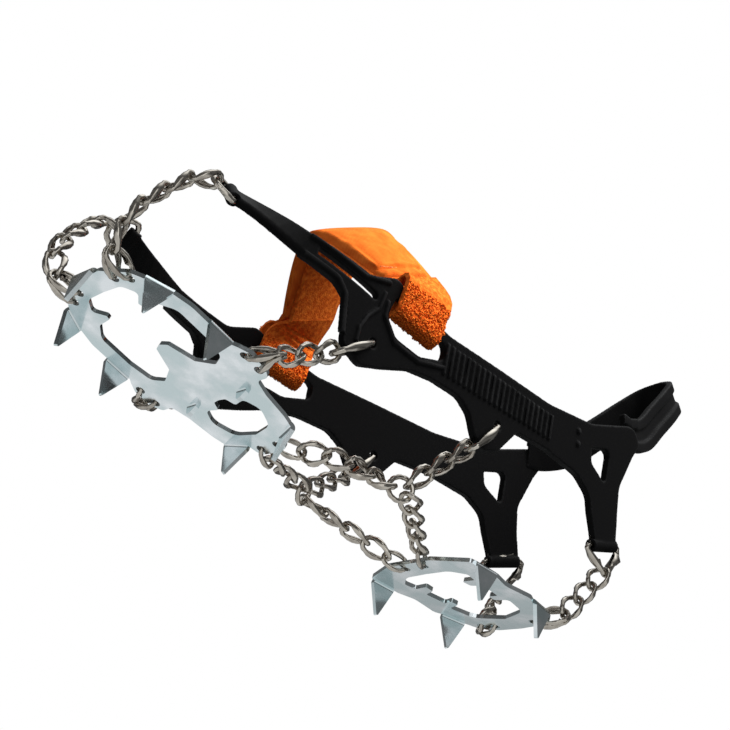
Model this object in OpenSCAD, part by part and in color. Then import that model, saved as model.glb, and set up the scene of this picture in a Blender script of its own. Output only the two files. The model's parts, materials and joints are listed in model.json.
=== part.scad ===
/* [Plates] */
// Thickness of the stamped steel plates
plate_t = 2; // [1.6:0.1:2.4]
// Slope of both plates, inner ends low, as a boot sole rocks
rocker = 6.5; // [4:0.5:9]
// Place of the front plate's middle along the foot
front_y = 95; // [90:1:100]
// Height of the front plate's middle
front_z = 7.5; // [5:0.5:10]
// Place of the heel plate's middle along the foot
heel_plate_y = -90; // [-95:1:-85]
// Height of the heel plate's middle
heel_plate_z = 0.5; // [-2:0.5:3]
// Radius of the chain holes in the plates
hole_r = 2.2; // [2:0.1:2.5]

/* [Spikes] */
// Length of a spike below the plate's middle
spike_l = 16; // [12:0.5:20]
// Width of a spike at its root
spike_w = 13; // [10:0.5:14]
// Inside radius of a spike's bend
bend_r = 1; // [0.6:0.1:1.6]
// Drop of the short studs between the spikes
stud_l = 6; // [5:0.5:8]
// Width of a short stud
stud_w = 6.5; // [5:0.5:8]

/* [Chain] */
// Wire of a chain link
wire = 2.1; // [1.8:0.1:2.3]
// Link spacing that each run is divided by
pitch = 11.2; // [10.6:0.2:12]
// Half width of a link at the middle of its wire
link_w = 3.4; // [3.2:0.1:3.8]
// Half width of a link that meets a ring or a pair of yokes
end_w = 4.1; // [3.9:0.1:4.4]
// Twist of a link from its middle to each end, before it is fitted to its run
twist = 45; // [40:1:50]
// Free play between two wires that hook each other
play = 0.3; // [0.2:0.05:0.4]
// Wire of the yoke links that grip the plates
yoke_wire = 1.9; // [1.7:0.1:2]
// Wire of the rings and connectors at the harness
ring_wire = 2.5; // [2.2:0.1:2.7]
// Radius of the ring where three runs meet
junction_r = 5.5; // [5:0.25:6.5]

/* [Harness] */
// Radius inside the heel of the harness
heel_r = 32; // [30:0.5:34]
// Place of the heel curve's centre along the foot
heel_y = -130; // [-132:0.5:-128]
// Flare of each side wall from heel to ball
flare = 5; // [4:0.25:6]
// Place where the wall starts to turn in towards the toe
ball_y = 50; // [46:1:54]
// Radius of the wall's turn towards the toe
toe_curve = 150; // [140:5:180]
// Thickness of the harness wall
wall_t = 4; // [3.4:0.1:4.6]
// Height of the raised rims and ribs
relief = 1; // [0.6:0.1:1.4]
// Ribs on each rear arm
rib_n = 22; // [16:1:26]
// Radius of the chain eyelets
eyelet_r = 2.3; // [2.1:0.1:2.6]
// Distance from an eyelet to the far end of its connector
connector_l = 22; // [21:0.5:24]
// Outside radius of the sleeves that hold the rings
sleeve_r = 3.2; // [2.8:0.1:3.6]
// Width of the heel pull loop's strip
loop_w = 17; // [14:0.5:20]
// Thickness of the heel pull loop's strip
loop_t = 3.6; // [3:0.2:4.4]
// Reach of the heel pull loop behind the heel curve's centre
loop_back = 58.5; // [50:0.5:66]
// Height of the heel pull loop's far end
loop_top = 170; // [160:1:178]

/* [Strap] */
// Width of the fuzzy strap
strap_w = 28; // [24:1:30]
// Thickness of the fuzzy strap
strap_t = 2.4; // [2:0.1:2.8]
// Slope of the instep
instep_slope = 39; // [36:1:42]
// Place of the instep's crest along the foot
crest_y = 48; // [46:1:50]
// Height of the instep's crest
crest_z = 118; // [116:1:120]
// Roundness of the instep's crest
crest_round = 18; // [14:1:24]
// Width of the pad at the crest
pad_w = 48; // [44:1:52]
// Width of the pad at its ends
pad_end_w = 37; // [34:1:42]
// Thickness of the pad
pad_t = 5; // [4:0.25:6]
// Reach of the pad to each side of the crest
pad_reach = 36; // [34:0.5:38]
// Fall of the pad from the crest to its ends
pad_fall = 29; // [26:0.5:30]

/* [Hidden] */
$fn = 48;

steel = "silver";
zinc = "lightsteelblue";
rubber = [0.12, 0.12, 0.13];
orange = "darkorange";
LEFT = -1;
RIGHT = 1;
eps = 0.01;

// Vectors and outlines
function unit(v) = v / norm(v);
function across(v, axis) = unit(v - (v * unit(axis)) * unit(axis));
function mix(a, b, t) = a + (b - a) * t;
function sum_to(list, n) = n <= 0 ? 0 : list[n - 1] + sum_to(list, n - 1);
function bezier(a, b, c, d, t) =
    (1 - t) ^ 3 * a + 3 * (1 - t) ^ 2 * t * b + 3 * (1 - t) * t ^ 2 * c + t ^ 3 * d;

// A corner [x, y, radius] of an outline, turned into the points of its fillet
function corner_arc(a, b, c, steps = 5) =
    let (p = [b[0], b[1]], u = unit([a[0], a[1]] - p), v = unit([c[0], c[1]] - p),
         half = acos(max(-1, min(1, u * v))) / 2,
         reach = b[2] / tan(half), hub = p + unit(u + v) * b[2] / sin(half),
         from = p + u * reach - hub, to = p + v * reach - hub)
    b[2] <= 0 ? [p] : [for (i = [0:steps]) hub + b[2] * unit(mix(from, to, i / steps))];
function filleted(pts) = [for (i = [0:len(pts) - 1]) each
    corner_arc(pts[(i + len(pts) - 1) % len(pts)], pts[i], pts[(i + 1) % len(pts)])];
function mirrored(half) = concat(half,
    [for (i = [len(half) - 1:-1:0]) if (half[i][0] != 0) [-half[i][0], half[i][1], half[i][2]]]);

// Draws a right-hand piece on the given side
module on_side(side)
    mirror([side < 0 ? 1 : 0, 0, 0])
        children();

// A solid through a list of sections with equal counts of points
module loft(sections, closed = false) {
    n = len(sections);
    m = len(sections[0]);
    rows = closed ? n : n - 1;
    sides = [for (i = [0:rows - 1], j = [0:m - 1])
        let (a = i * m + j, b = i * m + (j + 1) % m,
             c = ((i + 1) % n) * m + (j + 1) % m, d = ((i + 1) % n) * m + j)
        each [[a, c, b], [a, d, c]]];
    caps = closed ? [] : concat([for (j = [1:m - 2]) [0, j, j + 1]],
        [for (j = [1:m - 2]) [(n - 1) * m, (n - 1) * m + j + 1, (n - 1) * m + j]]);
    polyhedron(points = [for (s = sections) each s], faces = concat(sides, caps), convexity = 6);
}

// A loop of round wire between two end points, where the wire crosses the line that joins them.
// flat is the direction of the loop's width; w and r are half width and corner radius at each end.
module wire_loop(a, b, flat, thick, w0, w1, r0, r1, turn = 0) {
    dir = unit(b - a);
    lat = across(flat, dir);
    nrm = cross(dir, lat);
    half = norm(b - a) / 2;
    mid = (a + b) / 2;
    bends = [15, 45, 75];
    flat_pts = concat(
        [for (q = bends) [half - r1 + r1 * cos(q), w1 - r1 + r1 * sin(q)]],
        [for (q = [75, 45, 15]) [-half + r0 - r0 * cos(q), w0 - r0 + r0 * sin(q)]],
        [for (q = bends) [-half + r0 - r0 * cos(q), -w0 + r0 - r0 * sin(q)]],
        [for (q = [75, 45, 15]) [half - r1 + r1 * cos(q), -w1 + r1 - r1 * sin(q)]]);
    path = [for (p = flat_pts) let (q = turn * p[0] / half)
        mid + p[0] * dir + p[1] * (lat * cos(q) + nrm * sin(q))];
    n = len(path);
    sections = [for (i = [0:n - 1])
        let (t = unit(path[(i + 1) % n] - path[(i + n - 1) % n]),
             q = turn * flat_pts[i][0] / half,
             e = across(nrm * cos(q) - lat * sin(q), t), f = cross(t, e))
        [for (k = [0:5]) path[i] + thick / 2 * (cos(60 * k) * e + sin(60 * k) * f)]];
    loft(sections, closed = true);
}

// Points at even spacing along a route
function lengths(pts) = [for (i = [1:len(pts) - 1]) norm(pts[i] - pts[i - 1])];
function along(pts, s, i = 1) =
    let (step = norm(pts[i] - pts[i - 1]))
    s <= step || i == len(pts) - 1 ? mix(pts[i - 1], pts[i], s / step) : along(pts, s - step, i + 1);
hook = (wire + play) / 2;
// Extra play where a run turns at a ring or a yoke
slack = 0.35;
// How far a run passes the middle of a round end of half width w, made of the given wire
function past(w, other) = (wire + other) / 2 + play - w - hook;
// The route, lengthened so that its first and last links hook round the wires at its ends
function hooked(pts, start_over, end_over) =
    let (n = len(pts) - 1)
    concat([pts[0] - start_over * unit(pts[1] - pts[0])],
        [for (i = [1:n - 1]) pts[i]],
        [pts[n] + end_over * unit(pts[n] - pts[n - 1])]);
function turn_of(lat, dir, ref) =
    let (e = across(ref, dir), f = cross(dir, e)) atan2(lat * f, lat * e);

// A run of twisted links along a route between two wires.
// first and last are the directions of the end wires of the first and the last link; the twist is
// brought to the nearest value that lets each link cross the next one squarely.
module run(pts, first, last, ref, start_over = hook, end_over = hook) {
    route = hooked(pts, start_over, end_over);
    total = sum_to(lengths(route), len(route) - 1);
    n = max(2, round(total / pitch));
    ends = [for (k = [0:n]) along(route, total * k / n)];
    dirs = [for (k = [0:n - 1]) unit(ends[k + 1] - ends[k])];
    start = turn_of(first, dirs[0], ref);
    square = (turn_of(last, dirs[n - 1], ref) - start - 90 * (n - 1)) / (2 * n);
    bend = square + 90 / n * round((twist - square) / (90 / n));
    for (k = [0:n - 1]) {
        roll = start + bend + k * (2 * bend + 90);
        e = across(ref, dirs[k]);
        lat = e * cos(roll) + cross(dirs[k], e) * sin(roll);
        w0 = k == 0 ? end_w : link_w;
        w1 = k == n - 1 ? end_w : link_w;
        wire_loop(ends[k] - hook * dirs[k], ends[k + 1] + hook * dirs[k], lat, wire,
            w0, w1, w0, w1, bend);
    }
}

// Places on the middle of the plates, from [across, along]
function front_pt(h) = [h[0], front_y + h[1] * cos(rocker), front_z + h[1] * sin(rocker)];
function rear_pt(h) = [h[0], heel_plate_y + h[1] * cos(rocker), heel_plate_z - h[1] * sin(rocker)];
front_normal = [0, -sin(rocker), cos(rocker)];
rear_normal = [0, sin(rocker), cos(rocker)];

// Chain holes of one half of each plate
toe_holes = [[13, 51.5], [20.5, 48.5]];
ear_holes = [[37, -4.5], [36.5, -13.5]];
arch_hole = [5.5, -54];
waist_hole = [6, 35];
tail_holes = [[12.5, -33.5], [19.5, -31]];

// Yokes: the wire sits against the outer side of its hole, and the round end past the plate's edge
// is centred where the yoke meets its run
yoke_w = plate_t / 2 + yoke_wire / 2 + 1.3;
yoke_gap = yoke_wire + 0.4;
seat = hole_r - yoke_wire / 2 - 0.85;
pair_depth = end_w - sqrt((end_w - wire / 2 - yoke_wire / 2) ^ 2 - (yoke_gap / 2) ^ 2) + play;
pair_past = pair_depth - yoke_w - hook;
yoke_past = past(yoke_w, yoke_wire) + slack;
// Turns from the plate's normal at the hole to the given direction at the run
module yoke(p, meet, normal, flat) {
    a = p + seat * across(meet - p, normal);
    dir = unit(meet - a);
    e = across(normal, dir);
    turn = turn_of(flat, dir, normal);
    half = (turn - 180 * round(turn / 180)) / 2;
    wire_loop(a, meet + yoke_w * dir, e * cos(half) + cross(dir, e) * sin(half), yoke_wire,
        yoke_w, yoke_w, yoke_w, yoke_w, half);
}
// The direction in which two yokes lie side by side where they meet a run
function apart(p, q, meet, next) =
    let (d = unit(cross(meet - (p + q) / 2, next - meet))) d * sign(d * (p - q));
module yoke_pair(p, q, meet, next, normal) {
    d = apart(p, q, meet, next);
    flat = cross(d, meet - (p + q) / 2);
    yoke(p, meet + d * yoke_gap / 2, normal, flat);
    yoke(q, meet - d * yoke_gap / 2, normal, flat);
}
toe_meet = [20.5, 155, 16];
ear_meet = [47.5, 82.5, 8.5];
arch_meet = [[11, 34, 0.5], [9.5, 33, 1]];
waist_meet = [[10.5, -47.5, -3], [9.5, -47.5, -3]];
tail_meet = [26, -127.5, 7];

// The side wall in plan: outside half width at a place along the foot
function wall_x(y) = let (d = max(0, y - ball_y))
    (heel_r + wall_t) / cos(flare) + (y - heel_y) * tan(flare) - d * d / (2 * toe_curve);
module plan(grow, front) {
    steps = 8;
    back = heel_y - heel_r * sin(flare);
    line = [for (y = concat([back, ball_y], [for (i = [1:steps]) mix(ball_y, front, i / steps)]))
        [wall_x(y) - wall_t + grow, y]];
    translate([0, heel_y])
        circle(r = heel_r + grow, $fn = 96);
    polygon(concat(line, [for (i = [len(line) - 1:-1:0]) [-line[i][0], line[i][1]]]));
}
// A band of the wall, from its inside face out to a given thickness, cut to a side view
wall_room = 140;
wall_front = 92;
module wall_band(inside, outside) {
    intersection() {
        linear_extrude(wall_room)
            difference() {
                plan(outside, wall_front);
                plan(inside, wall_front + 2);
            }
        translate([-wall_room / 2, 0, 0])
            rotate([90, 0, 90])
                linear_extrude(wall_room)
                    children();
    }
}

// Side view of the wall: foot length across, height up
side_eyelet = [44, 41.5];
rear_eyelet = [-40.5, 55.5];
bar_bottom = 70;
bar_top = 75;
// Height at which the heel pull loop leaves the wall
loop_foot = 104;
wall_outline = [[91.5, 54.5, 0], [72, 54, 12], [64.5, 50, 6], [62, 43, 10], [58.5, 31, 5], [46, 28.5, 6],
    [33, 36, 12], [19, 45, 14], [4, 50, 20], [-13, 53, 10], [-22, 50, 8], [-29, 42.5, 5], [-37, 40, 5],
    [-46, 45.5, 6], [-54, 61, 6], [-76, 66, 20], [heel_y + 29, 68, 14], [heel_y + 17, 64, 10],
    [heel_y + 13, 57, 5], [heel_y + 4, 45, 0], [heel_y - 11, 54, 0], [heel_y - 6, 67, 10],
    [heel_y - 2, 80, 12], [heel_y - 6, loop_foot - 4, 6], [heel_y - 9, loop_foot + 5, 3],
    [heel_y - 1, loop_foot + 11.5, 8], [heel_y + 29, 97, 30], [-69, 87, 40], [-31, 80.5, 40],
    [4, bar_top - 1, 20], [36, bar_top, 6], [43, bar_top + 2, 6], [57, 68, 12], [91.5, 66.5, 0]];
strap_slot = [[41.5, 58, 4], [33, 52, 6], [17, 53.5, 10], [3, 61, 4], [4, 68.5, 4], [20, bar_bottom, 20],
    [40, bar_bottom, 4]];
long_slot = [[87, 59.5, 1.6], [50, 59.5, 1.6], [50, 63, 1.6], [87, 63, 1.6]];
window = [[heel_y + 25, 86, 2], [heel_y + 11.5, 93.5, 3], [heel_y + 8.5, 75, 2], [heel_y + 22, 79, 4]];
module side_view() {
    difference() {
        polygon(filleted(wall_outline));
        polygon(filleted(strap_slot));
        polygon(filleted(long_slot));
        polygon(filleted(window));
        for (e = [side_eyelet, rear_eyelet])
            translate(e)
                circle(r = eyelet_r);
    }
}

// A strip of constant width along a line of points
module stroke(pts, width) {
    n = len(pts);
    side = [for (i = [0:n - 1])
        let (t = unit(pts[min(n - 1, i + 1)] - pts[max(0, i - 1)])) [-t[1], t[0]]];
    polygon(concat([for (i = [0:n - 1]) pts[i] + side[i] * width / 2],
        [for (i = [n - 1:-1:0]) pts[i] - side[i] * width / 2]));
}
rim_front = [[91, 56], [72, 55.5], [66.5, 51.5], [63.8, 43.5], [61, 35]];
rim_inner = [[47, 66.5], [47.5, 57], [52, 50], [54, 43], [53, 36]];
rim_slot = [[44, 64], [43, 56.5], [33.5, 49.5], [17, 50.8], [1, 58.5]];
rim_top = [[91, 65.2], [60, 65.6], [46, 72]];
rib_from = [3, 62];
rib_to = [-76, 77];
rib_pitch = norm(rib_to - rib_from) / rib_n;
mould_pips = [[-93, 87.5], [-95, 81.5]];
module relief_view() {
    stroke(rim_front, 2.2);
    stroke(rim_inner, 1.6);
    stroke(rim_slot, 1.8);
    stroke(rim_top, 1.8);
    for (pip = mould_pips)
        translate(pip)
            circle(r = 1.3, $fn = 24);
    slope = atan2(rib_to[1] - rib_from[1], rib_to[0] - rib_from[0]) - 180;
    for (i = [0:rib_n - 1])
        translate(mix(rib_from, rib_to, i / rib_n))
            rotate(slope)
                translate([-rib_pitch * 0.5, -mix(7, 6, i / rib_n)])
                    square([rib_pitch * 0.45, mix(15, 12, i / rib_n)]);
}

// Toe arms: bands that leave the wall and lean over on to the toe
toe_lean = 42;
arm_from = 85;
sleeve_y = 126;
arm_half = 6;
function arm_y(t) = mix(arm_from, sleeve_y, t);
function arm_lean(t) = toe_lean * t * t * (3 - 2 * t);
function arm_up(t) = [-sin(arm_lean(t)), 0, cos(arm_lean(t))];
function arm_mid(t) = [wall_x(arm_y(t)) - wall_t / 2, arm_y(t), mix(60.5, 64, t)];
function arm_section(t) =
    let (up = arm_up(t) * mix(arm_half, arm_half - 0.8, t), out = cross([0, 1, 0], arm_up(t)) * wall_t / 2,
         c = arm_mid(t))
    [c + up - out, c + up + out * 0.6, c + up * 0.8 + out,
     c - up * 0.8 + out, c - up + out * 0.6, c - up - out];
ring_room = 0.3;
module along_axis(mid, axis)
    translate(mid)
        rotate([0, acos(axis[2]), atan2(axis[1], axis[0])])
            children();
module sleeve(mid, axis, length)
    along_axis(mid, axis)
        cylinder(r = sleeve_r, h = length, center = true);
module bore(mid, axis)
    along_axis(mid, axis)
        cylinder(r = ring_wire / 2 + ring_room, h = 40, center = true);
module toe_arm() {
    steps = 8;
    difference() {
        union() {
            loft([for (i = [0:steps]) arm_section(i / steps)]);
            sleeve(arm_mid(1), arm_up(1), 2 * (arm_half - 0.8));
        }
        bore(arm_mid(1), arm_up(1));
    }
}

// Heel tabs: the lower rear corners of the wall end in a sleeve for the heel ring
tab_front = [heel_y + 5, 43.5];
tab_rear = [heel_y - 12, 53];
tab_side = (tab_front + tab_rear) / 2;
tab_mid = [wall_x(tab_side[0]) - wall_t / 2 - 0.6, tab_side[0], tab_side[1]];
tab_axis = unit([-2.5, tab_rear[0] - tab_front[0], tab_rear[1] - tab_front[1]]);
tab_length = norm(tab_rear - tab_front);

// Heel pull loop: a strip that stands up and back from the heel corners
loop_lean = [0, 0.76, 0.65];
// [half width, share of the reach, share of the rise]
loop_shape = [[33.5, 0, 0], [31.5, 0.17, 0.045], [26, 0.41, 0.2], [20, 0.63, 0.485], [14, 0.855, 0.8],
    [8.5, 0.965, 0.955], [0, 1, 1]];
loop_half = [for (p = loop_shape) [p[0], heel_y - loop_back * p[1], mix(loop_foot, loop_top, p[2])]];
function loop_path() = concat(loop_half,
    [for (i = [len(loop_half) - 2:-1:0]) [-loop_half[i][0], loop_half[i][1], loop_half[i][2]]]);
module heel_loop() {
    p = loop_path();
    n = len(p);
    loft([for (i = [0:n - 1])
        let (t = unit(p[min(n - 1, i + 1)] - p[max(0, i - 1)]),
             w = across(loop_lean, t), o = cross(w, t) * loop_t / 2, e = w * loop_w)
        [p[i] + o, p[i] + o + e * 0.28, p[i] + o * 0.2 + e * 0.36, p[i] + o * 0.2 + e * 0.64,
         p[i] + o + e * 0.72, p[i] + o + e, p[i] - o + e, p[i] - o]]);
}

module harness() {
    color(rubber) {
        difference() {
            union() {
                wall_band(0, wall_t)
                    side_view();
                wall_band(wall_t / 2, wall_t + relief)
                    relief_view();
                heel_loop();
                for (side = [LEFT, RIGHT])
                    on_side(side)
                        sleeve(tab_mid, tab_axis, tab_length);
            }
            for (side = [LEFT, RIGHT])
                on_side(side)
                    bore(tab_mid, tab_axis);
        }
        for (side = [LEFT, RIGHT])
            on_side(side)
                toe_arm();
    }
}

// Steel plates
front_outline = mirrored([[0, 57.5, 0], [9, 57.5, 1.5], [11, 56.5, 2], [23, 51.5, 4], [27.5, 46, 2],
    [33.5, 34.5, 4], [36, 26, 12], [36, 3, 2], [38, 0.5, 2], [41, -4.5, 3.5], [40.5, -14, 3.5],
    [37, -18.5, 3],
    [30, -18.5, 3], [27, -27, 10], [25, -40, 10], [23, -46, 3], [11, -50, 2], [9, -57.5, 4], [0, -58, 0]]);
front_window = mirrored([[0, 47.5, 0], [12, 47, 5], [17, 41, 2], [11.5, 36.5, 0.8], [12, 34.5, 0.8],
    [20.5, 33.5, 2], [27.5, 27, 6], [27.5, 10, 4], [25, -1, 4], [18, -4, 2], [9, 1, 1.5], [4, 13, 1.2],
    [0, 14.5, 0]]);
rear_window = mirrored([[0, -22, 0], [4, -22.5, 1.5], [6, -27, 1.5], [13, -25.5, 3], [17, -33, 6],
    [12, -43, 7], [0, -45.5, 0]]);
// [x, u, outward angle] of the spikes and studs on one half
front_spikes = [[30.5, 40.25, 27.5], [36, 10, 0], [17, -48, -71.6]];
front_studs = [[17.5, -20, -90]];
toe_spike = [0, 57.5, 90];
heel_outline = mirrored([[0, 39.5, 0], [14, 39.5, 4], [33, 32, 2], [33, 14, 2], [30, 5, 10], [32, -10, 4],
    [29.5, -14, 1.5], [26.5, -26.5, 1.5], [23.5, -33.5, 4], [14, -38, 8], [0, -39, 0]]);
heel_window = mirrored([[0, 27.5, 0], [14, 27, 8], [21, 21, 2], [19.5, 15, 1], [12, 15.5, 1],
    [12.5, 10.5, 1], [19, 8.5, 1.5], [17.5, -3, 1], [12.5, -2, 1], [12, -6.5, 1.2], [19.5, -8.5, 2],
    [16, -22, 8], [0, -27, 0]]);
heel_spikes = [[33, 23, 0], [28, -20.25, -13.5]];

module bent_tooth(w, l, tip) {
    rotate([0, 0, -90]) {
        rotate([90, 0, 90])
            translate([0, -bend_r - plate_t / 2, -w / 2])
                linear_extrude(w)
                    intersection() {
                        difference() {
                            circle(r = bend_r + plate_t);
                            circle(r = bend_r);
                        }
                        square(bend_r + plate_t);
                    }
        translate([0, bend_r + plate_t, -bend_r - plate_t / 2 + eps])
            rotate([90, 0, 0])
                linear_extrude(plate_t)
                    polygon([[-w / 2, 0], [w / 2, 0], [tip / 2, bend_r + plate_t / 2 - l + tip / 3],
                        [0, bend_r + plate_t / 2 - l], [-tip / 2, bend_r + plate_t / 2 - l + tip / 3]]);
    }
}
module teeth(list, w, l, tip) {
    for (s = list, side = [LEFT, RIGHT])
        on_side(side)
            translate([s[0] - cos(s[2]) * bend_r, s[1] - sin(s[2]) * bend_r, 0])
                rotate(s[2])
                    translate([bend_r - 0.5, 0, 0])
                        bent_tooth(w, l, tip);
}
module chain_holes(list) {
    for (h = list, side = [LEFT, RIGHT])
        translate([side * h[0], h[1], 0])
            cylinder(r = hole_r, h = 3 * plate_t, center = true, $fn = 32);
}
module front_plate() {
    color(zinc)
        translate([0, front_y, front_z])
            rotate([rocker, 0, 0])
                difference() {
                    union() {
                        linear_extrude(plate_t, center = true)
                            difference() {
                                polygon(filleted(front_outline));
                                polygon(filleted(front_window));
                                polygon(filleted(rear_window));
                            }
                        teeth(front_spikes, spike_w, spike_l, 1.2);
                        teeth(front_studs, stud_w, stud_l, 3);
                        translate([0, toe_spike[1] - 0.5, 0])
                            rotate(toe_spike[2])
                                bent_tooth(spike_w, spike_l, 1.2);
                    }
                    chain_holes(concat(toe_holes, ear_holes, [arch_hole]));
                }
}
module heel_plate() {
    color(zinc)
        translate([0, heel_plate_y, heel_plate_z])
            rotate([-rocker, 0, 0])
                difference() {
                    union() {
                        linear_extrude(plate_t, center = true)
                            difference() {
                                polygon(filleted(heel_outline));
                                polygon(filleted(heel_window));
                            }
                        teeth(heel_spikes, spike_w, spike_l, 1.2);
                    }
                    chain_holes(concat([waist_hole], tail_holes));
                }
}

// Rings and connectors at the harness
ring_reach = 10;
ring_half = 8;
toe_ring_dir = across([-0.15, 0.93, 0.25], arm_up(1));
toe_hook = arm_mid(1) + toe_ring_dir * ring_reach;
ring_past = past(0, ring_wire);
module toe_ring(side) {
    color(steel)
        on_side(side)
            wire_loop(arm_mid(1), toe_hook, arm_up(1), ring_wire, ring_half, ring_half - 2, 2.5, 4);
}
heel_ring_l = 11.5;
heel_hook = tab_mid + heel_ring_l * across([1, -3, -11], tab_axis);
heel_ring_w = 3;
heel_ring_r = 2.2;
module heel_ring(side) {
    color(steel)
        on_side(side)
            wire_loop(tab_mid, heel_hook + heel_ring_w * unit(heel_hook - tab_mid), tab_axis, ring_wire,
                tab_length / 2 + heel_ring_r + 0.9, heel_ring_w, heel_ring_r, heel_ring_w);
}
connector_w = wall_t / 2 + ring_wire / 2 + 0.7;
eyelet_seat = eyelet_r - ring_wire / 2 - 0.35 - connector_w + sqrt(connector_w ^ 2 - (wall_t / 2) ^ 2);
side_dir = unit([1, 15, -15]);
rear_dir = unit([0.9, 10, -18]);
function eyelet_pt(e) = [wall_x(e[0]) - wall_t / 2, e[0], e[1]];
function connector_end(e, dir) = eyelet_pt(e) + (connector_l - connector_w) * dir;
connector_past = past(connector_w, ring_wire) + slack;
module connector(side, e, dir) {
    color(steel)
        on_side(side)
            wire_loop(eyelet_pt(e) + eyelet_seat * dir, eyelet_pt(e) + connector_l * dir, [1, 0, 0],
                ring_wire, connector_w, connector_w, connector_w, connector_w);
}

// Junctions: the worn chains hang a little unevenly, so each side has its own places
junction = [[31, -10, 5], [31, -4, 10.5]];
function of_side(pair, side) = pair[side < 0 ? 0 : 1];
lift_top = connector_end(rear_eyelet, rear_dir);
function junction_normal(side) =
    let (c = of_side(junction, side)) unit(cross(of_side(arch_meet, side) - c, lift_top - c));
function junction_hook(side, toward) =
    let (c = of_side(junction, side)) c + junction_r * across(toward - c, junction_normal(side));
module junction_ring(side) {
    c = of_side(junction, side);
    d = junction_hook(side, lift_top) - c;
    color(steel)
        on_side(side)
            wire_loop(c - d, c + d, cross(d, junction_normal(side)), wire, junction_r, junction_r,
                junction_r, junction_r);
}

// Chain runs
toe_route = [[24, 158.5, 24], [27, 159, 32], [30, 155, 43], [32.5, 148.5, 53.5], [35, 143, 62]];
module toe_chain(side) {
    color(steel)
        on_side(side)
            run(concat([toe_meet], toe_route, [toe_hook]),
                apart(front_pt(toe_holes[0]), front_pt(toe_holes[1]), toe_meet, toe_route[0]),
                cross(toe_hook - toe_route[len(toe_route) - 1], arm_up(1)), [1, 0, 0], pair_past, ring_past);
}
module side_chain(side) {
    finish = connector_end(side_eyelet, side_dir);
    color(steel)
        on_side(side)
            run([ear_meet, finish], apart(front_pt(ear_holes[0]), front_pt(ear_holes[1]), ear_meet, finish),
                cross(finish - ear_meet, [1, 0, 0]), [0, 0, 1], pair_past, connector_past);
}
arch_bend = [[25, 23, 2], [20, 15, 7]];
module arch_chain(side) {
    start = of_side(arch_meet, side);
    bend = of_side(arch_bend, side);
    color(steel)
        on_side(side)
            run([start, bend, junction_hook(side, bend)], cross(bend - start, front_normal),
                junction_normal(side), [0, 0, 1], yoke_past);
}
module lift_chain(side) {
    start = junction_hook(side, lift_top);
    color(steel)
        on_side(side)
            run([start, lift_top], junction_normal(side), cross(lift_top - start, [1, 0, 0]), [0, 1, 0],
                hook, connector_past);
}
module waist_chain(side) {
    start = of_side(waist_meet, side);
    finish = junction_hook(side, start);
    color(steel)
        on_side(side)
            run([start, finish], cross(finish - start, rear_normal), junction_normal(side), [0, 0, 1],
                yoke_past);
}
module heel_chain(side) {
    color(steel)
        on_side(side)
            run([tail_meet, heel_hook],
                apart(rear_pt(tail_holes[0]), rear_pt(tail_holes[1]), tail_meet, heel_hook),
                cross(heel_hook - tab_mid, tab_axis), [1, 0, 0], pair_past,
                past(heel_ring_w, ring_wire) + slack);
}
module toe_yokes(side) {
    color(steel)
        on_side(side)
            yoke_pair(front_pt(toe_holes[0]), front_pt(toe_holes[1]), toe_meet, toe_route[0], front_normal);
}
module ear_yokes(side) {
    color(steel)
        on_side(side)
            yoke_pair(front_pt(ear_holes[0]), front_pt(ear_holes[1]), ear_meet,
                connector_end(side_eyelet, side_dir), front_normal);
}
module arch_yoke(side) {
    color(steel)
        on_side(side)
            yoke(front_pt(arch_hole), of_side(arch_meet, side), front_normal, front_normal);
}
module waist_yoke(side) {
    color(steel)
        on_side(side)
            yoke(rear_pt(waist_hole), of_side(waist_meet, side), rear_normal, rear_normal);
}
module heel_yokes(side) {
    color(steel)
        on_side(side)
            yoke_pair(rear_pt(tail_holes[0]), rear_pt(tail_holes[1]), tail_meet, heel_hook, rear_normal);
}

// Strap: over the instep, round the bars of both slots and back up
crest = [0, crest_y, crest_z];
instep_out = [0, sin(instep_slope), cos(instep_slope)];
instep_along = [0, -cos(instep_slope), sin(instep_slope)];
// The instep falls away from its crest like a rounded roof
roof_scale = pad_fall / (sqrt(pad_reach ^ 2 + crest_round ^ 2) - crest_round);
function roof(x) = roof_scale * (sqrt(x ^ 2 + crest_round ^ 2) - crest_round);
function roof_slope(x) = roof_scale * x / sqrt(x ^ 2 + crest_round ^ 2);
function instep_normal(x) = unit([roof_slope(x), 0, 0] + instep_out);
function instep_pt(x, depth) = crest + [x, 0, 0] - roof(x) * instep_out - depth * instep_normal(x);
strap_gap = 0.4;
under = pad_t + strap_gap + strap_t / 2;
over = pad_t * 0.25;
bar_y = 25;
bar_out = wall_x(bar_y) + strap_t / 2 + strap_gap;
bar_in = wall_x(bar_y) - wall_t - strap_t / 2 - strap_gap;
fold_r = (bar_out - bar_in) / 2;
fold_z = bar_bottom - 4;
function slot_along(side) = unit([-side * tan(flare), -1, 0.06]);
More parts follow.
